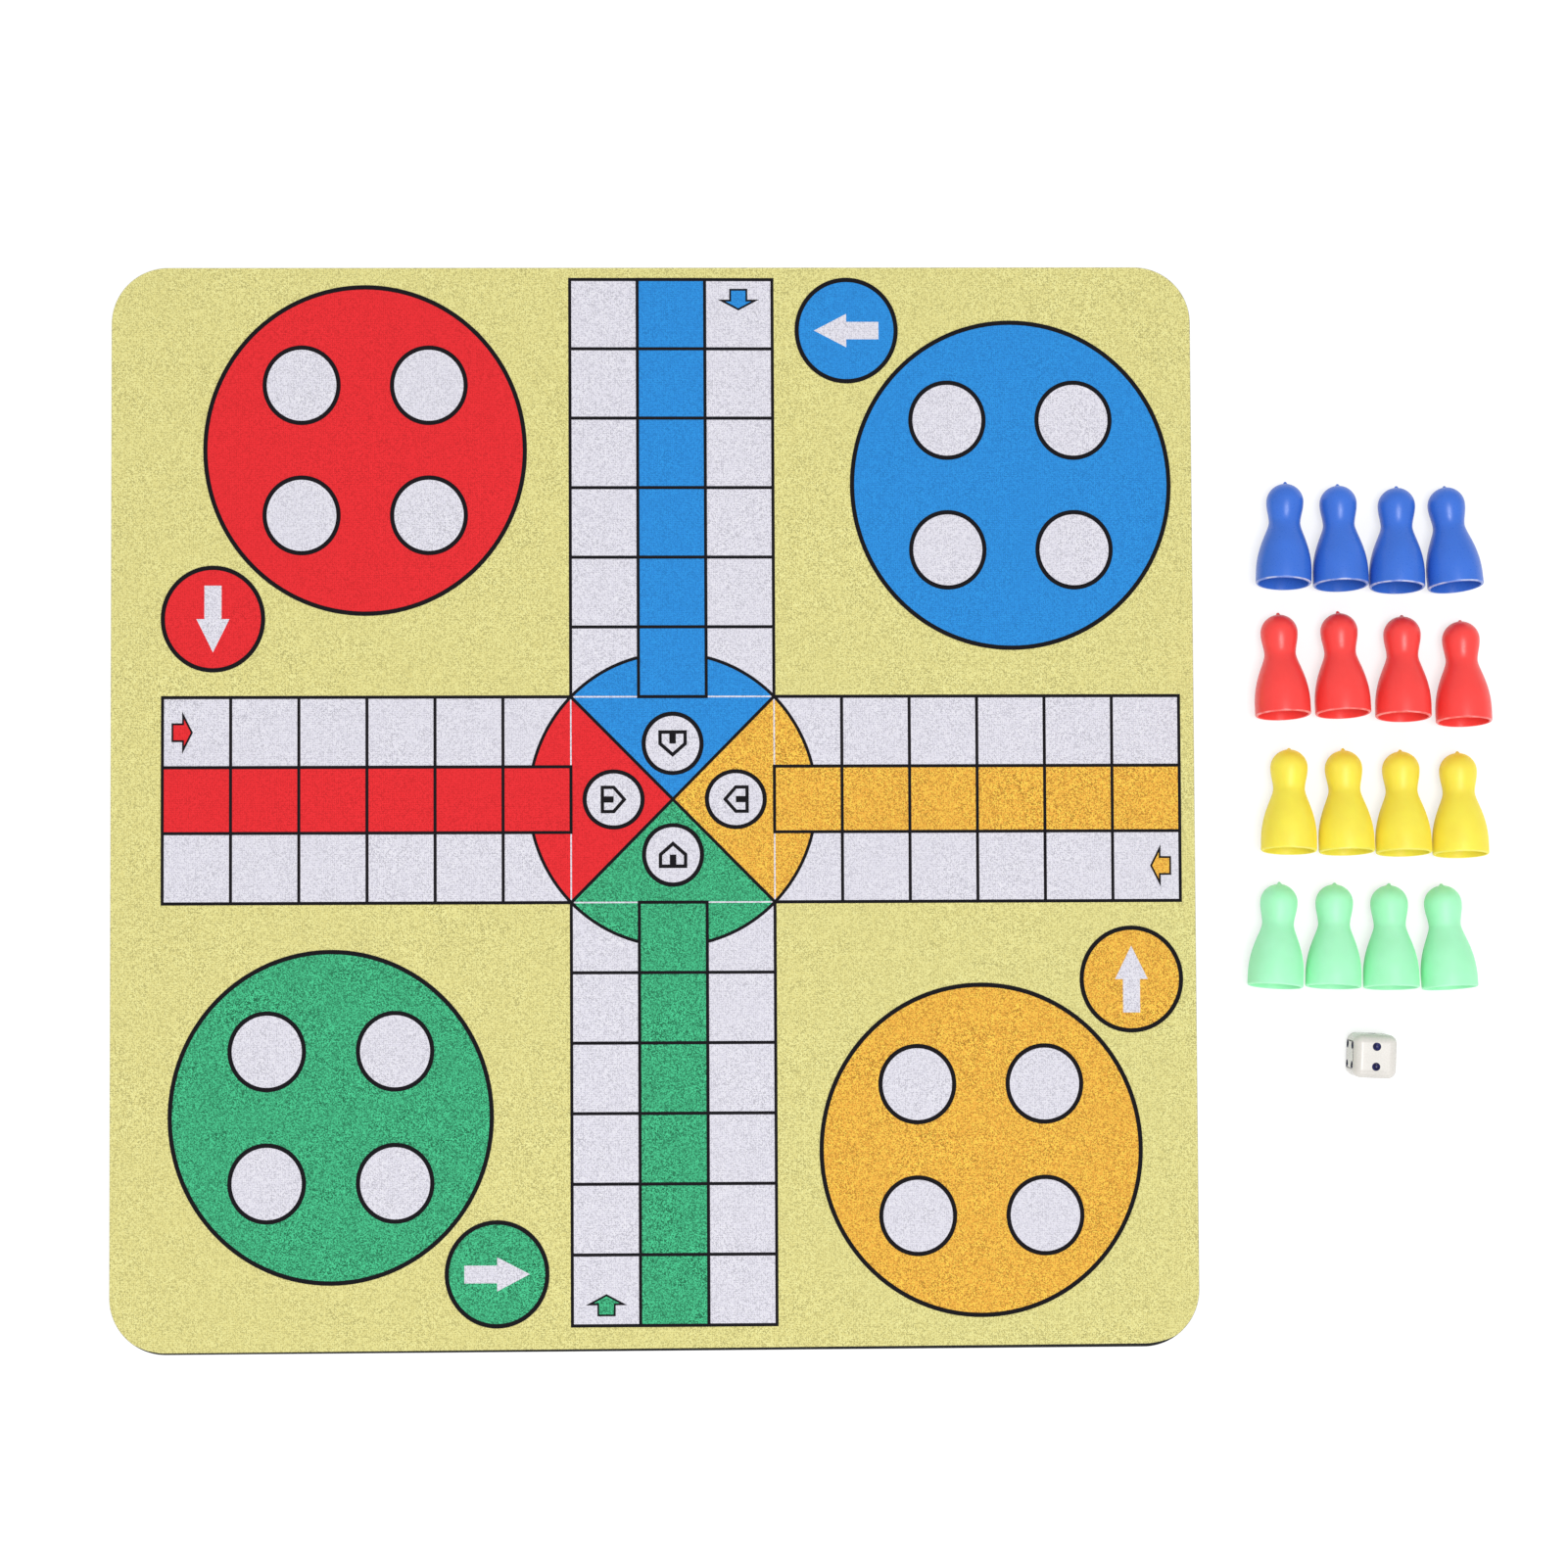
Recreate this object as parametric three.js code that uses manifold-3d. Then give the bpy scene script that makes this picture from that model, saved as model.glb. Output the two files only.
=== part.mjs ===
// A cross-and-circle race game: a printed cloth mat on foam rubber, four sets of hollow pawns
// laid on their sides beside it, and one die.
// Millimetres, +Z up. The origin is the middle of the mat's underside, +X points from the mat to
// the pawns, and everything rests on the plane Z = 0.
import * as THREE from 'three';
import { mergeVertices } from 'three/addons/utils/BufferGeometryUtils.js';
import { RoundedBoxGeometry } from 'three/addons/geometries/RoundedBoxGeometry.js';
import Module from 'manifold-3d';

// Mat
const matSide = 250;
const matCornerRadius = 13;
const rubberThickness = 1.7;
const clothThickness = 0.3;
const clothInset = 0.1; // rubber left showing round the cut edge of the cloth

// Pawn, measured along its axis from the open base and out from that axis
const pawnHeight = 23.7; // base to crown, without the moulding stub
const baseRadius = 6.35;
const rimRound = 0.3;
const skirtHeight = 2.5; // the straight stretch above the rim
const skirtSweep = 6.5; // how far the skirt keeps its fullness before it runs in to the neck
const neckHeight = 14.5;
const neckRadius = 3.6;
const neckSweep = 2; // how far below the neck its waist runs straight
const throatSweep = 1.5; // how far above the neck its waist runs straight
const headRadius = 4.25;
const cheekSweep = 1.9; // how far below its widest place the head stays full
const pawnWall = 0.7;
const stubRadius = 0.6;
const stubHeight = 0.6;

// Die
const dieSide = 10;
const dieEdgeRadius = 2;
const pipRadius = 0.95;
const pipDepth = 0.4;
const pipPitch = 4.6; // between the outer pips of a face

// Layout of the loose pieces beside the mat
const matToPawns = 13.5; // mat edge to the rim of the first pawn
const rowGap = 6.5; // crowns of one row to the bases of the next
const rowsMiddleY = 4.2; // middle of the rows' base lines
const rowsToDie = 11; // base line of the last row to the die
const dieShift = 2.2; // die to the right of the middle of the last row
const dieYaw = -3; // degrees

// Each set as it was laid by hand: the shift of its first pawn, the gap between neighbouring skirts,
// how much nearer the viewer than the row's line each pawn lies, and its lean to the right in degrees.
const pawnSets = [
  {
    name: 'blue', colour: 0x2f62d6, shift: 0.3, gap: 0.3,
    drops: [0, 0.5, 1, 0.9], leans: [3.2, 0.5, 2.2, -3.7],
  },
  {
    name: 'red', colour: 0xf04743, shift: -0.1, gap: 1.2,
    drops: [-0.4, -0.7, 0.1, 1.3], leans: [-0.6, -0.5, 1.7, 0.7],
  },
  {
    name: 'yellow', colour: 0xf8e23c, shift: 0.9, gap: 0.45,
    drops: [0, 0.3, 0.6, 1], leans: [2.3, 0.1, 0.5, 0.9],
  },
  {
    name: 'green', colour: 0x86f0b4, shift: -2.6, gap: 0.5,
    drops: [0.2, 0.4, 0.7, 0.8], leans: [4.7, 3.1, 1.0, -2.2],
  },
];

// Facets
const cornerSteps = 5;
const pawnSides = 16; // a multiple of four, so that a ridge lies on the table and one at each flank
const skirtSteps = 5;
const hollowSteps = 3;
const throatSteps = 3;
const crownSteps = 4;
const dieEdgeSteps = 2;
const pipSides = 8;
const pipRings = 6;

const wasm = await Module();
wasm.setup();

function toSolid(geometry) {
  const bare = geometry.clone();
  bare.deleteAttribute('normal');
  bare.deleteAttribute('uv');
  const merged = mergeVertices(bare);
  const vertProperties = new Float32Array(merged.attributes.position.array);
  const triVerts = new Uint32Array(merged.index.array);
  return new wasm.Manifold(new wasm.Mesh({ numProp: 3, vertProperties, triVerts }));
}

function toGeometry(solid) {
  const { vertProperties, triVerts } = solid.getMesh();
  const geometry = new THREE.BufferGeometry();
  geometry.setAttribute('position', new THREE.BufferAttribute(vertProperties, 3));
  geometry.setIndex(new THREE.BufferAttribute(triVerts, 1));
  geometry.computeVertexNormals();
  return geometry;
}

function namedMesh(name, geometry, finish) {
  const mesh = new THREE.Mesh(geometry, new THREE.MeshStandardMaterial(finish));
  mesh.name = name;
  return mesh;
}

// One layer of the mat: a square sheet with round corners.
function matLayer(side, cornerRadius, thickness) {
  const reach = side / 2 - cornerRadius;
  const outline = new THREE.Shape();
  outline.absarc(reach, reach, cornerRadius, 0, Math.PI / 2);
  outline.absarc(-reach, reach, cornerRadius, Math.PI / 2, Math.PI);
  outline.absarc(-reach, -reach, cornerRadius, Math.PI, 1.5 * Math.PI);
  outline.absarc(reach, -reach, cornerRadius, 1.5 * Math.PI, 2 * Math.PI);
  outline.closePath();
  return new THREE.ExtrudeGeometry(outline, {
    depth: thickness,
    bevelEnabled: false,
    curveSegments: cornerSteps,
  });
}

function makeMat() {
  const rubber = namedMesh('rubber_backing', matLayer(matSide, matCornerRadius, rubberThickness), {
    color: 0x1d1d1f,
    roughness: 0.95,
    metalness: 0,
  });
  const clothSide = matSide - 2 * clothInset;
  const cloth = namedMesh('cloth_top', matLayer(clothSide, matCornerRadius - clothInset, clothThickness), {
    color: 0xdcd48e,
    roughness: 0.9,
    metalness: 0,
  });
  cloth.position.z = rubberThickness;
  return [rubber, cloth];
}

// The sweep of a pawn's side between the skirt and the neck, drawn in by an inset for the hollow.
function skirtCurve(inset) {
  return new THREE.CubicBezierCurve(
    new THREE.Vector2(baseRadius - inset, skirtHeight),
    new THREE.Vector2(baseRadius - inset, skirtHeight + skirtSweep),
    new THREE.Vector2(neckRadius - inset, neckHeight - neckSweep),
    new THREE.Vector2(neckRadius - inset, neckHeight),
  );
}

// The outside of a pawn from its rim to its crown.
function outerProfile() {
  const headHeight = pawnHeight - headRadius;
  const throat = new THREE.CubicBezierCurve(
    new THREE.Vector2(neckRadius, neckHeight),
    new THREE.Vector2(neckRadius, neckHeight + throatSweep),
    new THREE.Vector2(headRadius, headHeight - cheekSweep),
    new THREE.Vector2(headRadius, headHeight),
  );
  const stubAngle = Math.acos(stubRadius / headRadius);
  const crown = new THREE.EllipseCurve(0, headHeight, headRadius, headRadius, 0, stubAngle);
  return [
    new THREE.Vector2(baseRadius - rimRound, 0),
    new THREE.Vector2(baseRadius, rimRound),
    ...skirtCurve(0).getPoints(skirtSteps),
    ...throat.getPoints(throatSteps).slice(1),
    ...crown.getPoints(crownSteps).slice(1),
    new THREE.Vector2(stubRadius, pawnHeight + stubHeight),
    new THREE.Vector2(0, pawnHeight + stubHeight),
  ];
}

// The inside of a pawn from the pointed end of its hollow, level with the middle of the head, to its rim.
function hollowProfile() {
  const boreRadius = neckRadius - pawnWall;
  const pointHeight = pawnHeight - headRadius;
  return [
    new THREE.Vector2(0, pointHeight),
    new THREE.Vector2(boreRadius, pointHeight - boreRadius),
    ...skirtCurve(pawnWall).getPoints(hollowSteps).reverse(),
    new THREE.Vector2(baseRadius - pawnWall, 0),
  ];
}

// A pawn on its side touches the table with its skirt and its head: of all lines from a point of
// the skirt to a point of the head, that is the one furthest out at the neck.
function restingLine(profile) {
  const skirt = profile.filter((point) => point.y < neckHeight);
  const head = profile.filter((point) => point.y > neckHeight);
  let outermost = { reach: 0 };
  for (const low of skirt) {
    for (const high of head) {
      const slope = (low.x - high.x) / (high.y - low.y);
      const reach = low.x - slope * (neckHeight - low.y);
      if (reach > outermost.reach) outermost = { reach, slope, touch: low };
    }
  }
  const tilt = Math.atan(outermost.slope);
  const axisHeight = outermost.touch.x * Math.cos(tilt) + outermost.touch.y * Math.sin(tilt);
  return { tilt, axisHeight, bellyHeight: outermost.touch.y };
}

// Where the base centres of one set lie from left to right. Neighbours that lean towards each other
// lie further apart, by what their bellies come together.
function basePlaces(set, row, bellyHeight) {
  const rowPitch = pawnHeight + stubHeight + rowGap;
  const baseLineY = rowsMiddleY + ((pawnSets.length - 1) / 2 - row) * rowPitch;
  const firstX = matSide / 2 + matToPawns + baseRadius + set.shift;
  const places = [];
  for (const [column, lean] of set.leans.entries()) {
    const y = baseLineY - set.drops[column];
    if (column === 0) {
      places.push({ x: firstX, y, lean });
      continue;
    }
    const left = places[column - 1];
    const closing = THREE.MathUtils.degToRad(Math.max(0, left.lean - lean));
    places.push({ x: left.x + 2 * baseRadius + set.gap + bellyHeight * Math.sin(closing), y, lean });
  }
  return places;
}

function makePawnSet(set, row) {
  const outer = outerProfile();
  const rest = restingLine(outer);
  const geometry = new THREE.LatheGeometry([...hollowProfile(), ...outer], pawnSides);
  return basePlaces(set, row, rest.bellyHeight).map(({ x, y, lean }, index) => {
    const pawn = namedMesh(`${set.name}_pawn_${index + 1}`, geometry, {
      color: set.colour,
      roughness: 0.32,
      metalness: 0,
    });
    pawn.rotation.set(-rest.tilt, 0, -THREE.MathUtils.degToRad(lean), 'ZXY');
    pawn.position.set(x, y, rest.axisHeight);
    return pawn;
  });
}

// The pips of each face, in steps of half the pip pitch along the face's two directions. Opposite
// faces add up to seven.
const corners = [[-1, -1], [-1, 1], [1, -1], [1, 1]];
const pipFaces = [
  { out: [0, 1, 0], pips: [[0, 0]] },
  { out: [0, 0, 1], pips: [[0, -1], [0, 1]] },
  { out: [1, 0, 0], pips: [[-1, -1], [0, 0], [1, 1]] },
  { out: [-1, 0, 0], pips: corners },
  { out: [0, 0, -1], pips: [...corners, [0, 0]] },
  { out: [0, -1, 0], pips: [...corners, [-1, 0], [1, 0]] },
];

// A round-edged cube whose pips are dishes of the given radius and depth.
function dieGeometry() {
  const dishRadius = (pipRadius ** 2 + pipDepth ** 2) / (2 * pipDepth);
  const dishCentre = dieSide / 2 + dishRadius - pipDepth;
  const halfPitch = pipPitch / 2;
  let cube = toSolid(new RoundedBoxGeometry(dieSide, dieSide, dieSide, dieEdgeSteps, dieEdgeRadius));
  for (const { out, pips } of pipFaces) {
    const normal = new THREE.Vector3(...out);
    const across = new THREE.Vector3(out[0] === 0 ? 1 : 0, out[0] === 0 ? 0 : 1, 0);
    const along = new THREE.Vector3(0, out[2] === 0 ? 0 : 1, out[2] === 0 ? 1 : 0);
    for (const [a, b] of pips) {
      const centre = normal.clone().multiplyScalar(dishCentre);
      centre.addScaledVector(across, a * halfPitch);
      centre.addScaledVector(along, b * halfPitch);
      const dish = new THREE.SphereGeometry(dishRadius, pipSides, pipRings);
      dish.rotateX(Math.PI / 2);
      dish.lookAt(normal);
      dish.translate(centre.x, centre.y, centre.z);
      cube = cube.subtract(toSolid(dish));
    }
  }
  return toGeometry(cube);
}

function makeDie(lastRow) {
  const die = namedMesh('die', dieGeometry(), { color: 0xeee8e4, roughness: 0.28, metalness: 0 });
  const middleX = (lastRow[0].position.x + lastRow.at(-1).position.x) / 2;
  die.position.set(middleX + dieShift, lastRow[0].position.y - rowsToDie - dieSide / 2, dieSide / 2);
  die.rotation.z = THREE.MathUtils.degToRad(dieYaw);
  return die;
}

const game = new THREE.Group();
const rows = pawnSets.map(makePawnSet);
game.add(...makeMat(), ...rows.flat(), makeDie(rows.at(-1)));

export default game;
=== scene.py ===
# A cross-and-circle race game in its finished look: a printed cloth mat on foam rubber, four sets of
# hollow pawns lying beside it, and a die. Shapes are drawn in millimetres and placed in metres.
import math
import random

import bmesh
import bpy
import numpy as np
from mathutils import Matrix, Vector
from mathutils.geometry import interpolate_bezier


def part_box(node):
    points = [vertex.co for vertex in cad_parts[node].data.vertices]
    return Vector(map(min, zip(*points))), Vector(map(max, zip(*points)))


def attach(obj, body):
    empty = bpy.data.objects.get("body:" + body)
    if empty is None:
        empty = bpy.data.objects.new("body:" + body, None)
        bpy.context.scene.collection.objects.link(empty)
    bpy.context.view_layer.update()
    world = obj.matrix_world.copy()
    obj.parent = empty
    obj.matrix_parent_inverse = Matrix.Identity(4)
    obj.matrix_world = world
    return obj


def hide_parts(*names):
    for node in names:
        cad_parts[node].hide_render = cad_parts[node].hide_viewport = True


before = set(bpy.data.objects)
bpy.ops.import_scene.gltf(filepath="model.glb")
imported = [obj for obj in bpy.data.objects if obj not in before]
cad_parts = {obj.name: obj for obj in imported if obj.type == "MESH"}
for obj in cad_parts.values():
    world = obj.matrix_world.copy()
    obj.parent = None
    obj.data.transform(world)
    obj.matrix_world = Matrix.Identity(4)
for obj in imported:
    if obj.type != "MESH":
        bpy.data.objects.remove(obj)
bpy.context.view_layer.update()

MM = 0.001
QUARTER = math.radians(90)

# Camera, in millimetres and degrees
CAMERA_PLACE = (18.12, -12.92, 600.0)
CAMERA_TURN = (1.714, -1.117, -0.295)
CAMERA_LENS = 59.49
CAMERA_SENSOR = 36.0

# Light and floor, in metres
SKY_STRENGTH = 0.545
SOFTBOXES = (  # name, place, width and height, power in watts
    ("overhead_softbox", (0.17, -0.12, 2.0), (0.75, 0.75), 21.3),
    ("front_softbox", (0.17, -1.5, 1.2), (0.6, 0.25), 5.45),
)
FLOOR_SIDE = 8.0
FLOOR_DROP = 0.00005
FLOOR_BOUNCE = 0.9  # grey of the floor in the light that it throws back
FLOOR_SHADE = 0.36  # grey of the floor to the camera, on top of its glow
FLOOR_GLOW = 0.7

# Mat
CORNER_RADIUS = 13.0
CORNER_STEPS = 24
CUT_EDGE_BEVEL = 0.12
CLOTH_EDGE_BEVEL = 0.08
NEAR_EDGE_SHORT = (0.32, 0.7)  # by how much the cloth falls short along its near edge, left and right
NEAR_EDGE_DEPTH = 2.4  # how far in from that edge the cloth is drawn back

# Print, measured from its own centre
PRINT_CENTRE = (4.2, 1.5)
PRINT_STRETCH = 1.029
PRINT_SKEW = -0.0018
CROSS_WIDTH = 0.9957  # as a share of its drawn width
HOME_ROW_SHORT = 0.5  # by how much either side of the level home rows falls short
CELL = 15.7
ARM_CELLS = 6
LINE = 0.72
RING_LINE = 0.98
ARROW_LINE = 0.42
HAIRLINE = 0.35
YARD_CENTRE = (-70.7, 78.6)
YARD_RADIUS = 36.8
SPOT_OFFSET = 14.67
SPOT_RADIUS = 8.5
START_CENTRE = (-105.7, 40.65)
START_RADIUS = 11.5
START_ARROW_LENGTH = 15.0
START_ARROW_WIDTH = 7.6
START_ARROW_SHAFT = 3.95
HOME_OFFSETS = (13.7, 13.0, 14.6, 12.9)  # in the order of the quarters: red, blue, orange, green
HOME_RADIUS = 6.7
HOUSE_WIDTH = 6.6
HOUSE_WALL = 3.2
HOUSE_ROOF = 2.8
HOUSE_LINE = 0.8
HOUSE_DOOR = (1.5, 2.2)
ENTRY_CENTRE = (-113.2, CELL)
ENTRY_ARROW_LENGTH = 4.9
ENTRY_ARROW_WIDTH = 9.5
ENTRY_ARROW_SHAFT = 4.2
CIRCLE_STEPS = 128
ARC_STEPS = 40
ARM_START = 1.5 * CELL
ARM_END = ARM_START + ARM_CELLS * CELL
DISC_RADIUS = ARM_START * math.sqrt(2)
PIE_START = math.radians(135)  # where the red slice of the middle disc starts

# Heights of the print's layers above the table
INK_FLOOR = 1.99
CELLS_TOP = 2.02
LATTICE_TOP = 2.04
FIELDS_TOP = 2.06
ARC_TOP = 2.075
HOME_COLUMN_TOP = 2.09
OUTLINE_TOP = 2.11

# Pawn, measured along its axis from the open base and out from that axis
PAWN_HEIGHT = 23.7
BASE_RADIUS = 6.35
RIM_ROUND = 0.45
RIM_INNER_ROUND = 0.2
RIM_HIGHLIGHT_BAND = 0.65  # share of the rim's outer round that carries the painted highlight
RIM_HIGHLIGHT_LAYER = "painted_rim_highlight"
SKIRT_HEIGHT = 2.5
SKIRT_SWEEP = 6.5
NECK_HEIGHT = 14.5
NECK_RADIUS = 3.6
NECK_SWEEP = 2.0
THROAT_SWEEP = 1.5
HEAD_RADIUS = 4.25
CHEEK_SWEEP = 1.9
PAWN_WALL = 0.7
STUB_RADIUS = 0.6
STUB_TIP_RADIUS = 0.34
STUB_HEIGHT = 0.6
STUB_FLAT = 0.6  # share of the tip's radius that is flat
STUB_LEAN = 0.5  # most that a stub leans either way, in radians
STUB_STAND = (0.6, 1.0)  # least and most of its height that a stub stands out
PAWN_SIDES = 72
PAWN_SHARP_ANGLE = 50  # edges that turn more than this many degrees stay sharp
POLE_MERGE = 0.002  # corners nearer than this become one
PAWNS_IN_SET = 4

# Die
DIE_SIDE = 10.0
DIE_EDGE_RADIUS = 2.0
DIE_EDGE_STEPS = 8
DIE_SHARP_ANGLE = 40  # in degrees, as is the yaw
DIE_YAW = -3.0
PIP_RADIUS = 0.95
PIP_DEPTH = 0.4
PIP_PITCH = 4.6
PIP_RIM_BEVEL = 0.06

# Colours as sRGB
CREAM = (216, 208, 135)
INK_RED = (223, 45, 50)
INK_BLUE = (45, 135, 211)
INK_ORANGE = (231, 171, 69)
INK_GREEN = (61, 162, 116)
INK_WHITE = (215, 213, 224)
INK_BLACK = (24, 22, 26)
RUBBER_BLACK = (21, 21, 23)
PAWN_BLUE = (58, 113, 215)
PAWN_RED = (255, 71, 67)
PAWN_YELLOW = (255, 233, 79)
PAWN_GREEN = (171, 255, 200)
DIE_IVORY = (220, 216, 210)
PIP_NAVY = (14, 15, 52)

# Grain of the dyed cloth, from nothing to 1
CREAM_GRAIN = 0.42
WHITE_GRAIN = 0.34
BLACK_GRAIN = 0.1
QUARTER_INKS = (  # piece, colour and grain, from the red quarter clockwise
    ("print_red", INK_RED, 0.25),
    ("print_blue", INK_BLUE, 0.25),
    ("print_orange", INK_ORANGE, 0.62),
    ("print_green", INK_GREEN, 0.75),
)

# Finish of the pawns: colour, roughness, glow, soak, depth, bloom and strength of the painted highlight
# on the rim
PAWN_SETS = {
    "blue": (PAWN_BLUE, 0.3, 0.03, (0.5, 0.7, 1.0), 0.001, 0.0, 0.5),
    "red": (PAWN_RED, 0.32, 0.08, (1.0, 0.3, 0.3), 0.001, 0.05, 0.25),
    "yellow": (PAWN_YELLOW, 0.42, 0.35, (1.0, 0.75, 0.3), 0.0015, 1.0, 0.15),
    "green": (PAWN_GREEN, 0.45, 0.4, (0.7, 1.0, 0.8), 0.0015, 1.0, 0.1),
}

rng = random.Random(11)


# Shading helpers

def linear(srgb):
    """The colour as Blender's sockets take it."""
    scene_values = []
    for value in srgb:
        share = value / 255
        scene_values.append(share / 12.92 if share <= 0.04045 else ((share + 0.055) / 1.055) ** 2.4)
    return (*scene_values, 1.0)


def node(tree, kind, inputs=None, **settings):
    """Adds a node. An input is a plain value or another node's output."""
    made = tree.nodes.new(kind)
    for name, value in settings.items():
        setattr(made, name, value)
    for name, value in (inputs or {}).items():
        if isinstance(value, bpy.types.NodeSocket):
            tree.links.new(value, made.inputs[name])
        else:
            made.inputs[name].default_value = value
    return made


def new_material(name):
    """An empty material, its node tree and its output node."""
    material = bpy.data.materials.new(name)
    material.use_nodes = True
    tree = material.node_tree
    tree.nodes.clear()
    return material, tree, node(tree, "ShaderNodeOutputMaterial")


def math_node(tree, operation, first, second):
    return node(tree, "ShaderNodeMath", {0: first, 1: second}, operation=operation).outputs[0]


def noise(tree, place, scale, detail=2.0):
    """Noise of one feature in 1 / scale metres, from 0 to 1."""
    inputs = {"Vector": place, "Scale": scale, "Detail": detail}
    return node(tree, "ShaderNodeTexNoise", inputs).outputs["Fac"]


def remap(tree, value, low, high, to_low, to_high):
    inputs = {"Value": value, "From Min": low, "From Max": high, "To Min": to_low, "To Max": to_high}
    return node(tree, "ShaderNodeMapRange", inputs).outputs["Result"]


def mixed(tree, share, first, second):
    """Two colours mixed by a share. The node's sockets for colours are known by their places."""
    factor, first_colour, second_colour, mixed_colour = 0, 6, 7, 2
    inputs = {factor: share, first_colour: first, second_colour: second}
    return node(tree, "ShaderNodeMix", inputs, data_type="RGBA").outputs[mixed_colour]


def shaded(colour, factor):
    """A linear colour made darker or lighter by a factor."""
    return (*(min(1.0, channel * factor) for channel in colour[:3]), 1.0)


def grey(level):
    return (level, level, level, 1.0)


def crossed_bands(tree, inputs):
    """Bands across X times bands across Y, from 0 to 1."""
    bands = []
    for direction in ("X", "Y"):
        wave = node(tree, "ShaderNodeTexWave", inputs, wave_type="BANDS", bands_direction=direction)
        bands.append(wave.outputs["Fac"])
    return math_node(tree, "MULTIPLY", *bands)


# Materials

def printed_cloth(name, ink, grain):
    """Fine polyester knit dyed with one ink: ribs, a matt nap, and odd stitches that took more dye or
    less. The grain says how strongly these show."""
    rib_scale = 640.0  # ribs half a millimetre apart
    stitch_scale = 4200.0  # stitches 0.24 mm apart
    stitch_slant = math.radians(38)
    patch_scale = 210.0  # patches of stronger grain, about 5 mm across
    cloud_scale = 26.0  # faint clouds, about 40 mm across
    darkest, lightest = 0.03, 2.0  # odd stitches, as shares of the ink's tone
    material, tree, output = new_material(name)
    place = node(tree, "ShaderNodeTexCoord").outputs["Object"]
    tone = linear(ink)
    weave = crossed_bands(tree, {
        "Vector": place, "Scale": rib_scale, "Distortion": 1.4, "Detail": 1.0, "Detail Scale": 0.6,
    })
    slanted = node(tree, "ShaderNodeMapping", {"Vector": place, "Rotation": (0.0, 0.0, stitch_slant)})
    cells = {"Vector": slanted.outputs[0], "Scale": stitch_scale, "Randomness": 0.8}
    stitches = node(tree, "ShaderNodeTexVoronoi", cells, voronoi_dimensions="2D", feature="F1")
    lot = node(tree, "ShaderNodeSeparateColor", {"Color": stitches.outputs["Color"]}).outputs[0]
    loop = remap(tree, stitches.outputs["Distance"], 0.45, 0.75, 1.0, 0.0)
    patches = remap(tree, noise(tree, place, patch_scale), 0.4, 0.62, 0.75, 1.0)
    odd = math_node(tree, "MULTIPLY", loop, math_node(tree, "MULTIPLY", patches, grain))
    dark = math_node(tree, "MULTIPLY", odd, remap(tree, lot, 0.67, 0.72, 0.0, 1.0))
    light = math_node(tree, "MULTIPLY", odd, remap(tree, lot, 0.33, 0.28, 0.0, 1.0))
    ribbed = remap(tree, weave, 0.0, 0.7, 0.0, 1.0)
    yarn = mixed(tree, ribbed, shaded(tone, 0.93), shaded(tone, 1.12))
    darkened = mixed(tree, dark, yarn, shaded(tone, darkest))
    flecked = mixed(tree, light, darkened, shaded(tone, lightest))
    clouds = remap(tree, noise(tree, place, cloud_scale), 0.3, 0.7, 0.0, 0.3)
    height = math_node(tree, "SUBTRACT", weave, dark)
    relief = node(tree, "ShaderNodeBump", {"Strength": 0.35, "Distance": 0.0001, "Height": height})
    shader = node(tree, "ShaderNodeBsdfPrincipled", {
        "Base Color": mixed(tree, clouds, flecked, shaded(tone, 0.96)),
        "Roughness": remap(tree, weave, 0.0, 1.0, 0.95, 0.8),
        "Normal": relief.outputs["Normal"],
        "Specular IOR Level": 0.12,
        "Sheen Weight": 0.02,
        "Sheen Roughness": 0.5,
    })
    tree.links.new(shader.outputs[0], output.inputs["Surface"])
    return material


def foam_rubber():
    """Black foam rubber: open pores on the cut edge and a fine anti-slip waffle."""
    pore_scale = 3200.0  # pores 0.3 mm apart
    waffle_scale = 230.0  # waffle of 1.4 mm
    dust_scale = 120.0
    material, tree, output = new_material("foam_rubber")
    place = node(tree, "ShaderNodeTexCoord").outputs["Object"]
    tone = linear(RUBBER_BLACK)
    foam = node(tree, "ShaderNodeTexVoronoi", {"Vector": place, "Scale": pore_scale}, feature="F1")
    pores = foam.outputs["Distance"]
    waffle = crossed_bands(tree, {"Vector": place, "Scale": waffle_scale, "Distortion": 0.3})
    height = math_node(tree, "ADD", pores, waffle)
    relief = node(tree, "ShaderNodeBump", {"Strength": 0.6, "Distance": 0.0002, "Height": height})
    dust = remap(tree, noise(tree, place, dust_scale, detail=4.0), 0.4, 0.75, 0.0, 0.35)
    shader = node(tree, "ShaderNodeBsdfPrincipled", {
        "Base Color": mixed(tree, dust, tone, shaded(tone, 1.9)),
        "Roughness": remap(tree, pores, 0.0, 0.6, 0.95, 0.7),
        "Normal": relief.outputs["Normal"],
        "Specular IOR Level": 0.3,
    })
    tree.links.new(shader.outputs[0], output.inputs["Surface"])
    return material


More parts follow.
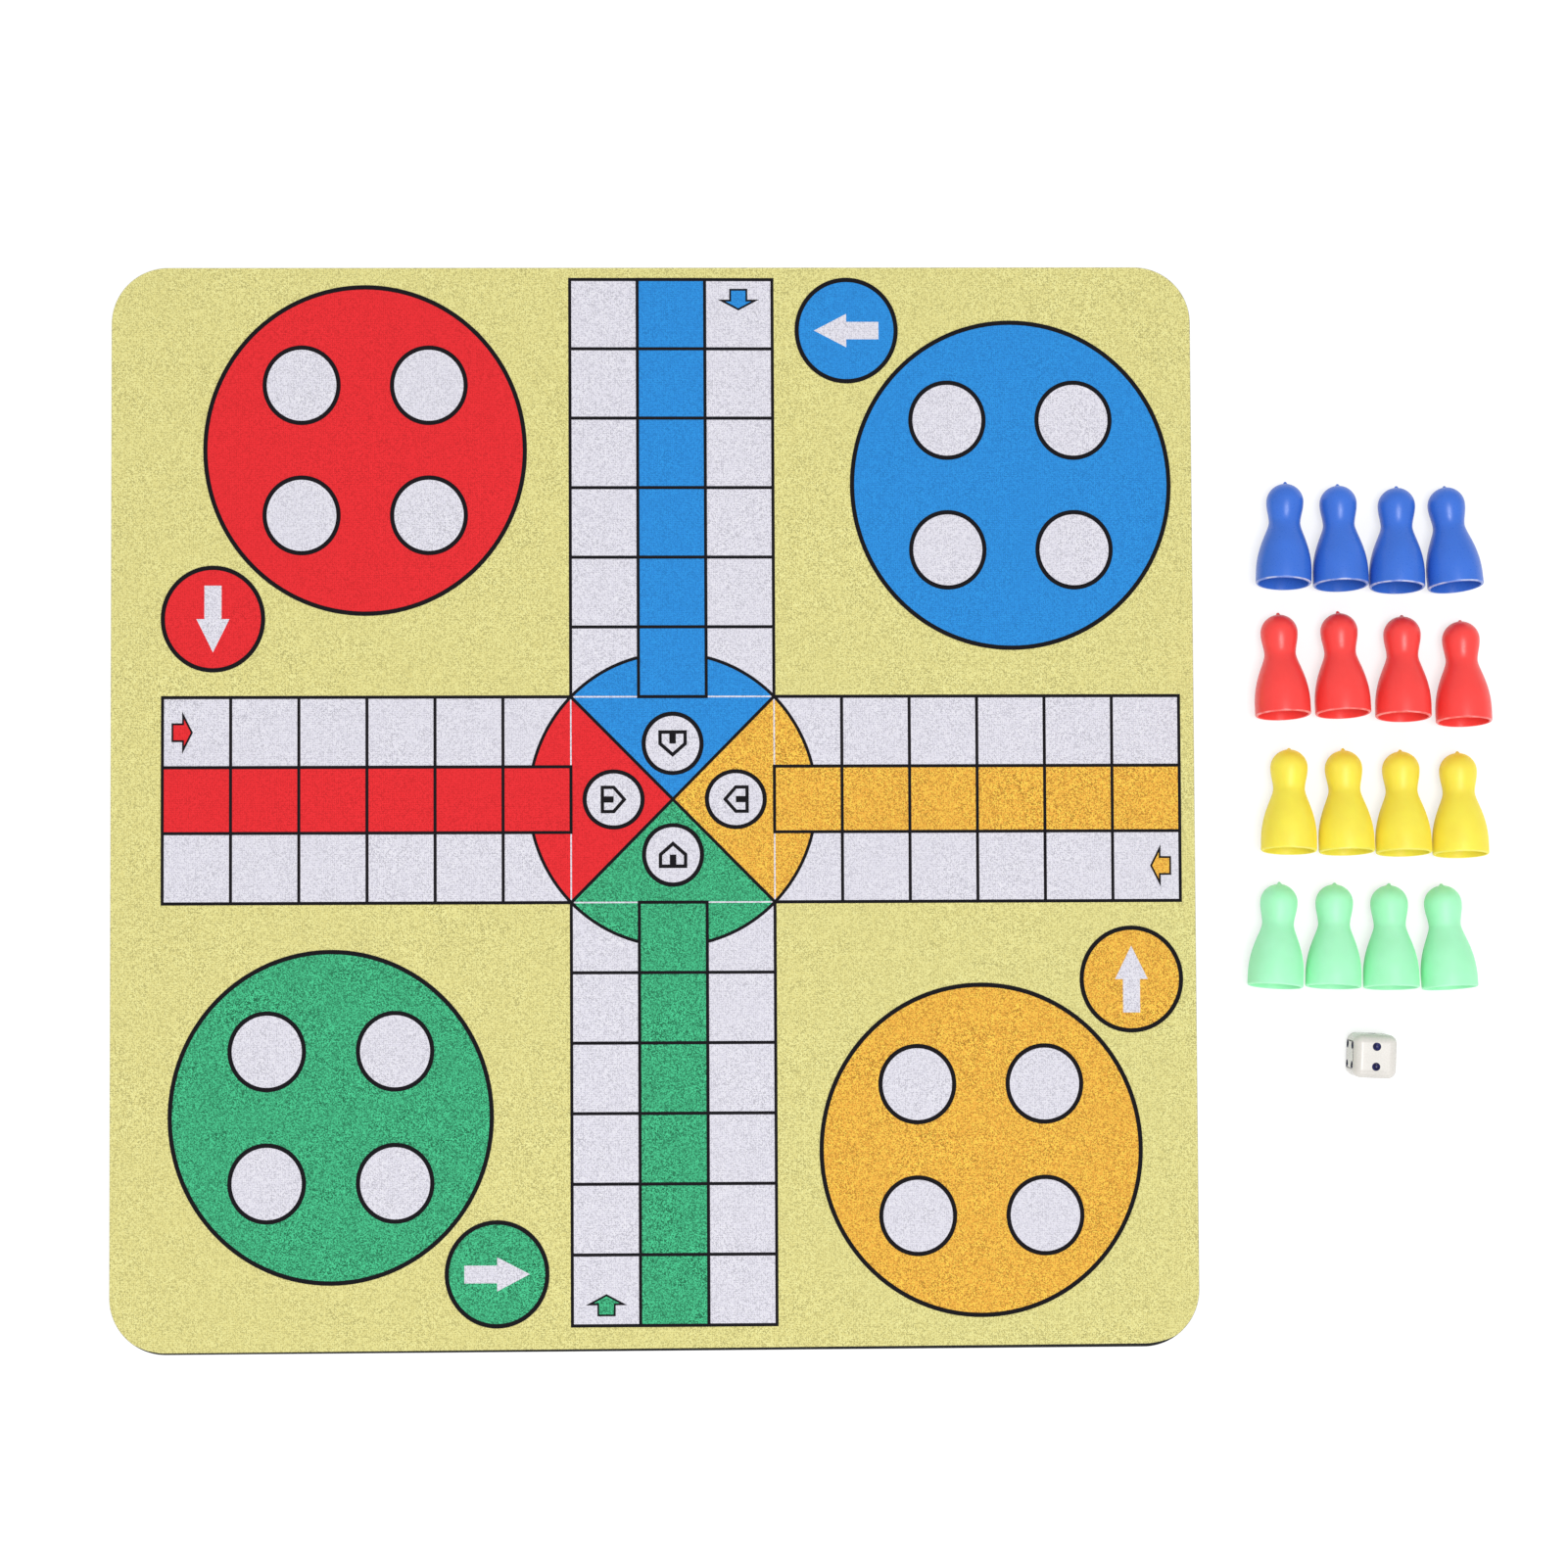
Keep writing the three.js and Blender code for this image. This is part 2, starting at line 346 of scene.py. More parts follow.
def moulded_plastic(name, colour, roughness, glow, soak, depth, bloom, rim_highlight_strength):
    """Satin moulded plastic with a faint flow pattern. Glow is the share of light that soaks in, which
    each colour does by its soak times the depth in metres. Bloom brightens the outline, and a painted
    highlight whitens the outer round of the rim, broken up along its length."""
    flow_scale = 160.0  # streaks about 6 mm long
    skin_scale = 2600.0  # bumps of 0.4 mm
    highlight_break_scale = 420.0  # stretches of the painted rim highlight, about 2 mm long
    least_highlight = 0.3
    material, tree, output = new_material(name)
    place = node(tree, "ShaderNodeTexCoord").outputs["Object"]
    tone = linear(colour)
    flow = remap(tree, noise(tree, place, flow_scale, detail=3.0), 0.35, 0.7, 0.0, 1.0)
    flowed = mixed(tree, flow, shaded(tone, 0.95), shaded(tone, 1.04))
    skin = noise(tree, place, skin_scale)
    relief = node(tree, "ShaderNodeBump", {"Strength": 0.08, "Distance": 0.00005, "Height": skin})
    # painted highlight: the outer round of the rim is mixed towards white, broken up by noise
    rim = node(tree, "ShaderNodeAttribute", attribute_name=RIM_HIGHLIGHT_LAYER).outputs["Fac"]
    highlight_breaks = noise(tree, place, highlight_break_scale)
    highlight_share = remap(tree, highlight_breaks, 0.4, 0.6, least_highlight * rim_highlight_strength, rim_highlight_strength)
    highlighted = math_node(tree, "MULTIPLY", rim, highlight_share)
    shader = node(tree, "ShaderNodeBsdfPrincipled", {
        "Base Color": mixed(tree, highlighted, flowed, grey(1.0)),
        "Roughness": remap(tree, skin, 0.3, 0.7, roughness - 0.04, roughness + 0.06),
        "Normal": relief.outputs["Normal"],
        "Subsurface Weight": glow,
        "Subsurface Radius": soak,
        "Subsurface Scale": depth,
        "Specular IOR Level": 0.45,
        "Sheen Weight": bloom,
        "Sheen Roughness": 0.6,
        "Sheen Tint": tone,
    })
    tree.links.new(shader.outputs[0], output.inputs["Surface"])
    return material


def pip_paint():
    """Glossy dark paint in the dishes of the die, lighter in patches where it is thinner and where a
    reflection of the lamp is painted on.
    """
    thin_and_glint_scale = 1800.0  # thin places and painted reflections, about half a millimetre across
    material, tree, output = new_material("pip_paint")
    place = node(tree, "ShaderNodeTexCoord").outputs["Object"]
    tone = linear(PIP_NAVY)
    thin = remap(tree, noise(tree, place, thin_and_glint_scale), 0.45, 0.65, 0.0, 1.0)
    shader = node(tree, "ShaderNodeBsdfPrincipled", {
        # the lighter patches are partly thin paint and partly a painted reflection
        "Base Color": mixed(tree, thin, tone, shaded(tone, 4.0)),
        "Roughness": remap(tree, thin, 0.0, 1.0, 0.16, 0.3),
        "Specular IOR Level": 0.3,
    })
    tree.links.new(shader.outputs[0], output.inputs["Surface"])
    return material


def white_floor():
    """A matt white floor that the camera sees as white outside the soft shadows."""
    material, tree, output = new_material("white_floor")
    path = node(tree, "ShaderNodeLightPath").outputs
    seen = math_node(tree, "MAXIMUM", path["Is Camera Ray"], path["Is Glossy Ray"])
    seen = math_node(tree, "MAXIMUM", seen, path["Is Transmission Ray"])
    matt = node(tree, "ShaderNodeBsdfDiffuse", {"Color": grey(FLOOR_BOUNCE)}).outputs[0]
    shadowed = node(tree, "ShaderNodeBsdfDiffuse", {"Color": grey(FLOOR_SHADE)}).outputs[0]
    glow = node(tree, "ShaderNodeEmission", {"Color": grey(1.0), "Strength": FLOOR_GLOW}).outputs[0]
    lifted = node(tree, "ShaderNodeAddShader", {0: shadowed, 1: glow}).outputs[0]
    mix = node(tree, "ShaderNodeMixShader", {0: seen, 1: matt, 2: lifted})
    tree.links.new(mix.outputs[0], output.inputs["Surface"])
    return material


# Pieces

def finished(name, bm, materials, body, replaced=None):
    """Makes a bmesh in millimetres a piece in metres that rides on a body."""
    bmesh.ops.transform(bm, matrix=Matrix.Scale(MM, 4), verts=bm.verts)
    mesh = bpy.data.meshes.new(name)
    bm.to_mesh(mesh)
    bm.free()
    for material in materials:
        mesh.materials.append(material)
    piece = bpy.data.objects.new(name, mesh)
    bpy.context.scene.collection.objects.link(piece)
    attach(piece, body)
    if replaced:
        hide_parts(replaced)
    return piece


def smooth_between(mesh, degrees):
    """Smooth shading, with edges sharper than the angle kept sharp."""
    mesh.shade_smooth()
    mesh.set_sharp_from_angle(angle=math.radians(degrees))


def node_box(name):
    """A CAD node's middle and its size, in millimetres."""
    low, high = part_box(name)
    return (low + high) / 2 / MM, (high - low) / MM


def mat_layer(name, corner_radius, edge_bevel):
    """A square sheet with round corners in the box of a CAD node, its top and bottom edges eased."""
    middle, size = node_box(name)
    bm = bmesh.new()
    bmesh.ops.create_grid(bm, x_segments=1, y_segments=1, size=0.5)
    bmesh.ops.transform(bm, matrix=Matrix.Diagonal((size.x, size.y, 1, 1)), verts=bm.verts)
    bmesh.ops.bevel(
        bm, geom=bm.verts[:], offset=corner_radius, segments=CORNER_STEPS, profile=0.5,
        affect="VERTICES", material=-1,
    )
    raised = bmesh.ops.extrude_face_region(bm, geom=bm.faces[:])
    top = [item for item in raised["geom"] if isinstance(item, bmesh.types.BMVert)]
    bmesh.ops.translate(bm, vec=(0, 0, size.z), verts=top)
    bmesh.ops.recalc_face_normals(bm, faces=bm.faces)
    rims = [edge for edge in bm.edges if abs(edge.verts[0].co.z - edge.verts[1].co.z) < size.z / 2]
    bmesh.ops.bevel(
        bm, geom=rims, offset=edge_bevel, segments=2, profile=0.5, affect="EDGES", material=-1,
    )
    bmesh.ops.translate(bm, vec=middle - Vector((0, 0, size.z / 2)), verts=bm.verts)
    return bm


# Print

def corners_of(faces):
    return list({corner for face in faces for corner in face.verts})


def quarter_turn(quarter):
    """Turns what is drawn for the red quarter clockwise by some quarters."""
    return Matrix.Rotation(-quarter * QUARTER, 4, "Z")


def lay_ink(bm, faces, quarter, top):
    """Lays flat faces in their quarter of the cloth and gives them the thickness of their layer."""
    centre = Matrix.Translation((*PRINT_CENTRE, INK_FLOOR))
    stretch = Matrix.Diagonal((1, PRINT_STRETCH, 1, 1))
    stretch[1][0] = PRINT_SKEW
    bmesh.ops.transform(bm, matrix=centre @ stretch @ quarter_turn(quarter), verts=corners_of(faces))
    raised = bmesh.ops.extrude_face_region(bm, geom=faces)
    upper = [item for item in raised["geom"] if isinstance(item, bmesh.types.BMVert)]
    bmesh.ops.translate(bm, vec=(0, 0, top - INK_FLOOR), verts=upper)


def lay_cross(bm, faces, quarter, top):
    """Lays faces of the cross, whose level home rows were printed narrower than its other rows."""
    corners = corners_of(faces)
    bmesh.ops.transform(bm, matrix=quarter_turn(quarter), verts=corners)
    for corner in corners:
        corner.co.x *= CROSS_WIDTH
        corner.co.y -= HOME_ROW_SHORT * max(-1.0, min(1.0, corner.co.y / (CELL / 2)))
    lay_ink(bm, faces, 0, top)


def rectangle(bm, low, high):
    width, height = high[0] - low[0], high[1] - low[1]
    middle = Vector(((low[0] + high[0]) / 2, (low[1] + high[1]) / 2, 0))
    place = Matrix.Translation(middle) @ Matrix.Diagonal((width, height, 1, 1))
    made = bmesh.ops.create_grid(bm, x_segments=1, y_segments=1, size=0.5, matrix=place)
    return made["verts"][0].link_faces[:]


def disc(bm, centre, radius):
    place = Matrix.Translation((*centre, 0))
    made = bmesh.ops.create_circle(bm, cap_ends=True, radius=radius, segments=CIRCLE_STEPS, matrix=place)
    return made["verts"][0].link_faces[:]


def polygon(bm, corners, place):
    face = bm.faces.new([bm.verts.new(place @ Vector((*corner, 0))) for corner in corners])
    face.normal_update()
    return [face]


def edge_band(bm, face, width):
    """Parts a band along the edge of a face from what is left of that face inside it."""
    inset = bmesh.ops.inset_region(
        bm, faces=[face], thickness=width, use_boundary=True, use_even_offset=True,
    )
    return inset["faces"]


def outline(bm, faces, width):
    """The band inside the edge of one face."""
    inner = faces[0]
    band = edge_band(bm, inner, width)
    bmesh.ops.delete(bm, geom=[inner], context="FACES_ONLY")
    return band


def core(bm, faces, width):
    """What is left of one face inside the band along its edge."""
    inner = faces[0]
    band = edge_band(bm, inner, width)
    bmesh.ops.delete(bm, geom=band, context="FACES")
    return [inner]


def ring(bm, centre, radius):
    """A line round a circle."""
    return outline(bm, disc(bm, centre, radius + RING_LINE / 2), RING_LINE)


def sector(bm, inner, outer, start):
    """A quarter of a ring, or of a disc where the inner radius is nothing."""
    turn = Matrix.Rotation(start, 3, "Z")
    ends = [bm.verts.new(turn @ Vector((radius, 0, 0))) for radius in (inner, outer)]
    spoke = bm.edges.new(ends)
    known = set(bm.faces)
    bmesh.ops.spin(
        bm, geom=[*ends, spoke], cent=(0, 0, 0), axis=(0, 0, 1), angle=QUARTER, steps=ARC_STEPS,
        use_merge=False, use_duplicate=False,
    )
    made = [face for face in bm.faces if face not in known]
    bmesh.ops.remove_doubles(bm, verts=corners_of(made), dist=LINE / 100)
    return [face for face in bm.faces if face not in known]


def lattice(bm, low, columns, rows):
    """The lines round and between the cells of a block, as one sheet with a window for each cell."""
    high = (low[0] + columns * CELL, low[1] + rows * CELL)
    edge = LINE / 2
    known = set(bm.faces)
    rectangle(bm, (low[0] - edge, low[1] - edge), (high[0] + edge, high[1] + edge))
    for axis, count in ((0, columns), (1, rows)):
        normal = Vector((1 - axis, axis, 0))
        for index in range(count + 1):
            for side in (-edge, edge):
                cut = normal * (low[axis] + index * CELL + side)
                faces = [face for face in bm.faces if face not in known]
                parts = list({part for face in faces for part in (*face.verts, *face.edges, face)})
                bmesh.ops.bisect_plane(bm, geom=parts, plane_co=cut, plane_no=normal, dist=edge / 100)
    faces = [face for face in bm.faces if face not in known]
    windows = [face for face in faces if face.calc_area() > (CELL - 2 * LINE) ** 2]
    bmesh.ops.delete(bm, geom=windows, context="FACES")
    return [face for face in bm.faces if face not in known]


def arrow(bm, centre, length, head_width, shaft_width, turn):
    """A block arrow that points along +X before its turn."""
    back, tip, head, shaft = -length / 2, length / 2, head_width / 2, shaft_width / 2
    corners = [(back, -shaft), (0, -shaft), (0, -head), (tip, 0), (0, head), (0, shaft), (back, shaft)]
    place = Matrix.Translation((*centre, 0)) @ Matrix.Rotation(turn, 4, "Z")
    return polygon(bm, corners, place)


def entry_arrow(bm):
    return arrow(bm, ENTRY_CENTRE, ENTRY_ARROW_LENGTH, ENTRY_ARROW_WIDTH, ENTRY_ARROW_SHAFT, 0)


def house(bm, offset):
    """The outline of a small house, its roof towards the middle of the board."""
    half, eaves, ridge = HOUSE_WIDTH / 2, HOUSE_WALL, HOUSE_WALL + HOUSE_ROOF
    corners = [(0, -half), (eaves, -half), (ridge, 0), (eaves, half), (0, half)]
    return outline(bm, polygon(bm, corners, Matrix.Translation((-offset - ridge / 2, 0, 0))), HOUSE_LINE)


def house_door(bm, offset):
    width, height = HOUSE_DOOR
    foot = HOUSE_LINE - offset - (HOUSE_WALL + HOUSE_ROOF) / 2
    return rectangle(bm, (foot, -width / 2), (foot + height, width / 2))


def spot_centres():
    x, y = YARD_CENTRE
    return [(x + side * SPOT_OFFSET, y + rise * SPOT_OFFSET) for side in (-1, 1) for rise in (-1, 1)]


def colour_fields(bm, quarter):
    """The yard, start disc, entry arrow, slice of the middle disc and home column of one colour."""
    lay_ink(bm, disc(bm, YARD_CENTRE, YARD_RADIUS), quarter, FIELDS_TOP)
    lay_ink(bm, disc(bm, START_CENTRE, START_RADIUS), quarter, FIELDS_TOP)
    lay_cross(bm, core(bm, entry_arrow(bm), ARROW_LINE), quarter, FIELDS_TOP)
    lay_cross(bm, sector(bm, 0, DISC_RADIUS, PIE_START), quarter, FIELDS_TOP)
    home_column = rectangle(bm, (-ARM_END, -CELL / 2), (-ARM_START, CELL / 2))
    lay_cross(bm, home_column, quarter, HOME_COLUMN_TOP)


def white_fields(bm, quarter):
    """The white cells, spots, home circle and start arrow of one quarter."""
    for low, high in ((-1.5, -0.5), (0.5, 1.5)):
        row = rectangle(bm, (-ARM_END, low * CELL), (-ARM_START, high * CELL))
        lay_cross(bm, row, quarter, CELLS_TOP)
    for centre in spot_centres():
        lay_ink(bm, disc(bm, centre, SPOT_RADIUS), quarter, HOME_COLUMN_TOP)
    lay_cross(bm, disc(bm, (-HOME_OFFSETS[quarter], 0), HOME_RADIUS), quarter, HOME_COLUMN_TOP)
    start_arrow = arrow(
        bm, START_CENTRE, START_ARROW_LENGTH, START_ARROW_WIDTH, START_ARROW_SHAFT, -QUARTER,
    )
    lay_ink(bm, start_arrow, quarter, HOME_COLUMN_TOP)


def black_lines(bm, quarter):
    """The outlines of one quarter."""
    lay_cross(bm, lattice(bm, (-ARM_END, -1.5 * CELL), ARM_CELLS, 3), quarter, LATTICE_TOP)
    disc_edge = sector(bm, DISC_RADIUS - LINE / 2, DISC_RADIUS + LINE / 2, PIE_START)
    lay_cross(bm, disc_edge, quarter, ARC_TOP)
    lay_cross(bm, lattice(bm, (-ARM_END, -CELL / 2), ARM_CELLS, 1), quarter, OUTLINE_TOP)
    lay_ink(bm, ring(bm, YARD_CENTRE, YARD_RADIUS), quarter, OUTLINE_TOP)
    lay_ink(bm, ring(bm, START_CENTRE, START_RADIUS), quarter, OUTLINE_TOP)
    lay_cross(bm, ring(bm, (-HOME_OFFSETS[quarter], 0), HOME_RADIUS), quarter, OUTLINE_TOP)
    for centre in spot_centres():
        lay_ink(bm, ring(bm, centre, SPOT_RADIUS), quarter, OUTLINE_TOP)
    lay_cross(bm, outline(bm, entry_arrow(bm), ARROW_LINE), quarter, OUTLINE_TOP)
    lay_cross(bm, house(bm, HOME_OFFSETS[quarter]), quarter, OUTLINE_TOP)
    lay_cross(bm, house_door(bm, HOME_OFFSETS[quarter]), quarter, OUTLINE_TOP)
    start = LINE / 2 if quarter else -LINE / 2  # the first one runs across the middle
    diagonal = rectangle(bm, (start, -LINE / 2), (DISC_RADIUS, LINE / 2))
    bmesh.ops.rotate(bm, matrix=Matrix.Rotation(PIE_START, 3, "Z"), verts=corners_of(diagonal))
    lay_cross(bm, diagonal, quarter, OUTLINE_TOP)


def printed(name, ink, grain, draw, quarters):
    """One ink of the print as a thin piece on the cloth."""
    bm = bmesh.new()
    for quarter in quarters:
        draw(bm, quarter)
    bmesh.ops.recalc_face_normals(bm, faces=bm.faces)
    return finished(name, bm, [printed_cloth(name, ink, grain)], "mat")


def square_hairline(bm, quarter):
    """The pale edge of the middle square in one slice of the disc."""
    edge = HAIRLINE / 2
    strip = rectangle(bm, (-ARM_START - edge, -ARM_START), (-ARM_START + edge, ARM_START))
    lay_cross(bm, strip, quarter, ARC_TOP)


def make_print():
    """All inks of the board: one of each quarter's own, then those that every quarter has."""
    inks = []
    for quarter, (name, ink, grain) in enumerate(QUARTER_INKS):
        inks.append(printed(name, ink, grain, colour_fields, [quarter]))
    every_quarter = range(len(QUARTER_INKS))
    inks.append(printed("print_white", INK_WHITE, WHITE_GRAIN, white_fields, every_quarter))
    inks.append(printed("print_hairline", INK_WHITE, WHITE_GRAIN, square_hairline, every_quarter))
    inks.append(printed("print_black", INK_BLACK, BLACK_GRAIN, black_lines, every_quarter))
    return inks


def trim_near_edge(bm):
    """The cloth was cut short along its near edge, so that a line of rubber shows there."""
    middle, size = node_box("cloth_top")
    left, right = NEAR_EDGE_SHORT
    near_edge = middle.y - size.y / 2
    for corner in bm.verts:
        nearness = max(0.0, 1 - (corner.co.y - near_edge) / NEAR_EDGE_DEPTH)
        across = (corner.co.x - middle.x) / size.x + 0.5
        corner.co.y += nearness * (left + (right - left) * across)


def make_mat():
    rubber = mat_layer("rubber_backing", CORNER_RADIUS, CUT_EDGE_BEVEL)
    finished("mat_rubber", rubber, [foam_rubber()], "mat", "rubber_backing")
    layer = mat_layer("cloth_top", CORNER_RADIUS, CLOTH_EDGE_BEVEL)
    trim_near_edge(layer)
    cream = printed_cloth("cream_cloth", CREAM, CREAM_GRAIN)
    cloth = finished("mat_cloth", layer, [cream], "mat", "cloth_top")
    make_print()


# Pawns

def arc(centre_out, centre_up, radius, start, end, steps):
    """Points of a round stretch of a profile, from one angle to another in degrees."""
    points = []
    for step in range(steps + 1):
        angle = math.radians(start + (end - start) * step / steps)
        out, up = radius * math.cos(angle), radius * math.sin(angle)
        points.append(Vector((centre_out + out, 0, centre_up + up)))
    return points


def sweep(start, start_reach, end_reach, end, steps):
    """Points of a side that leaves one place and meets another along the axis."""
    first, last = Vector((start[0], 0, start[1])), Vector((end[0], 0, end[1]))
    leaving = Vector((start[0], 0, start[1] + start_reach))
    arriving = Vector((end[0], 0, end[1] - end_reach))
    return interpolate_bezier(first, leaving, arriving, last, steps)


def pawn_profile():
    """Half the section of a pawn, from the tip of its hollow round the rim to its moulding stub."""
    bore = NECK_RADIUS - PAWN_WALL
    mouth = BASE_RADIUS - PAWN_WALL
    head_height = PAWN_HEIGHT - HEAD_RADIUS
    stub_angle = math.degrees(math.acos(STUB_RADIUS / HEAD_RADIUS))
    tip = PAWN_HEIGHT + STUB_HEIGHT
    neck, cheek = (NECK_RADIUS, NECK_HEIGHT), (HEAD_RADIUS, head_height)
    hollow = sweep((mouth, SKIRT_HEIGHT), SKIRT_SWEEP, NECK_SWEEP, (bore, NECK_HEIGHT), steps=16)
    return [
        *arc(0, head_height - bore, bore, 90, 0, steps=10),
        *reversed(hollow),
        *arc(mouth + RIM_INNER_ROUND, RIM_INNER_ROUND, RIM_INNER_ROUND, 180, 270, steps=5),
        *arc(BASE_RADIUS - RIM_ROUND, RIM_ROUND, RIM_ROUND, -90, 0, steps=7),
        *sweep((BASE_RADIUS, SKIRT_HEIGHT), SKIRT_SWEEP, NECK_SWEEP, neck, steps=24),
        *sweep(neck, THROAT_SWEEP, CHEEK_SWEEP, cheek, steps=14)[1:],
        *arc(0, head_height, HEAD_RADIUS, 0, stub_angle, steps=20)[1:],
        Vector((STUB_TIP_RADIUS, 0, tip - STUB_TIP_RADIUS / 2)),
        Vector((STUB_TIP_RADIUS * STUB_FLAT, 0, tip)),
        Vector((0, 0, tip)),
    ]


def lying_place(name):
    """The place of a CAD pawn in millimetres, as a matrix that lays an upright pawn there."""
    corners = np.array([tuple(v.co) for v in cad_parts[name].data.vertices]) / MM
    corners = np.unique(corners.round(3), axis=0)
    middle = corners.mean(axis=0)
    axis = np.linalg.svd(corners - middle, full_matrices=False)[2][0]
    if axis[1] < 0:  # the heads lie to the rear
        axis = -axis
    base = middle + axis * ((corners - middle) @ axis).min()
    turn = Vector(axis).to_track_quat("Z", "Y").to_matrix().to_4x4()
    return Matrix.Translation(base) @ turn


def bend_stub(bm):
    """The stub was twisted off by hand, so each one leans and stands out a little differently."""
    crown = Vector((0, 0, PAWN_HEIGHT))
    stub = [corner for corner in bm.verts if corner.co.z > PAWN_HEIGHT]
    lean = Matrix.Rotation(rng.uniform(-STUB_LEAN, STUB_LEAN), 3, "X")
    lean = lean @ Matrix.Rotation(rng.uniform(-STUB_LEAN, STUB_LEAN), 3, "Y")
    stand = rng.uniform(*STUB_STAND)
    bmesh.ops.scale(bm, vec=(1, 1, stand), verts=stub, space=Matrix.Translation(-crown))
    bmesh.ops.rotate(bm, cent=crown, matrix=lean, verts=stub)


def mark_rim_highlight(bm):
    """Marks the outer round of the base, where a highlight is painted along the rim."""
    layer = bm.verts.layers.float.new(RIM_HIGHLIGHT_LAYER)
    band = RIM_HIGHLIGHT_BAND * RIM_ROUND
    for corner in bm.verts:
        if corner.co.z < band and corner.co.xy.length > BASE_RADIUS - band:
            corner[layer] = 1.0


def make_pawn(name, plastic):
    bm = bmesh.new()
    corners = [bm.verts.new(point) for point in pawn_profile()]
    edges = [bm.edges.new(pair) for pair in zip(corners, corners[1:])]
    bmesh.ops.spin(
        bm, geom=[*corners, *edges], cent=(0, 0, 0), axis=(0, 0, 1), angle=2 * math.pi,
        steps=PAWN_SIDES, use_merge=True, use_duplicate=False,
    )
    bmesh.ops.remove_doubles(bm, verts=bm.verts, dist=POLE_MERGE)
    bmesh.ops.recalc_face_normals(bm, faces=bm.faces)
    bend_stub(bm)
    mark_rim_highlight(bm)
    bmesh.ops.transform(bm, matrix=lying_place(name), verts=bm.verts)
    pawn = finished(f"{name}_moulding", bm, [plastic], name, name)
    smooth_between(pawn.data, PAWN_SHARP_ANGLE)


def make_pawns():
    for colour, finish in PAWN_SETS.items():
        slot = f"pawn_{colour}"
        plastic = moulded_plastic(slot, *finish)
        for index in range(PAWNS_IN_SET):
            make_pawn(f"{colour}_pawn_{index + 1}", plastic)


# Die

def pip_places():
    """The middle of each pip on the cube's faces, with the way its face looks."""
    corners = [(-1, -1), (-1, 1), (1, -1), (1, 1)]
    faces = (
        ((0, 1, 0), [(0, 0)]),
        ((0, 0, 1), [(0, -1), (0, 1)]),
        ((1, 0, 0), [(-1, -1), (0, 0), (1, 1)]),
        ((-1, 0, 0), corners),
        ((0, 0, -1), [*corners, (0, 0)]),
        ((0, -1, 0), [*corners, (-1, 0), (1, 0)]),
    )
    for out, pips in faces:
        out = Vector(out)
        across = Vector((0, 1, 0)) if out.x else Vector((1, 0, 0))
        along = Vector((0, 1, 0)) if out.z else Vector((0, 0, 1))
        for step_across, step_along in pips:
            shift = (across * step_across + along * step_along) * PIP_PITCH / 2
            yield out * DIE_SIDE / 2 + shift, out


def pip_cutters(bm):
    """Round cutters that leave a dish of the pip's radius and depth in each place."""
    radius = (PIP_RADIUS**2 + PIP_DEPTH**2) / (2 * PIP_DEPTH)
    for place, out in pip_places():
        centre = Matrix.Translation(place + out * (radius - PIP_DEPTH))
        turn = out.to_track_quat("Z", "Y").to_matrix().to_4x4()
        bmesh.ops.create_uvsphere(bm, u_segments=32, v_segments=24, radius=radius, matrix=centre @ turn)


def loose_object(name, bm, material):
    mesh = bpy.data.meshes.new(name)
    bm.to_mesh(mesh)
    bm.free()
    mesh.materials.append(material)
    made = bpy.data.objects.new(name, mesh)
    bpy.context.scene.collection.objects.link(made)
    return made


def cut_die(ivory, paint):
    """The rounded cube with its dishes cut, as a bmesh whose second material is the paint."""
    cube = bmesh.new()
    bmesh.ops.create_cube(cube, size=DIE_SIDE)
    bmesh.ops.bevel(
        cube, geom=cube.edges[:], offset=DIE_EDGE_RADIUS, segments=DIE_EDGE_STEPS, profile=0.5,
        affect="EDGES", material=-1,
    )
    blank = loose_object("die_blank", cube, ivory)
    dishes = bmesh.new()
    pip_cutters(dishes)
    cutter = loose_object("die_cutter", dishes, paint)
    cut = blank.modifiers.new("pips", "BOOLEAN")
    cut.operation = "DIFFERENCE"
    cut.solver = "EXACT"
    cut.object = cutter
    cut.material_mode = "TRANSFER"
    bm = bmesh.new()
    bm.from_object(blank, bpy.context.evaluated_depsgraph_get())
    for used in (blank, cutter):
        bpy.data.objects.remove(used)
    return bm


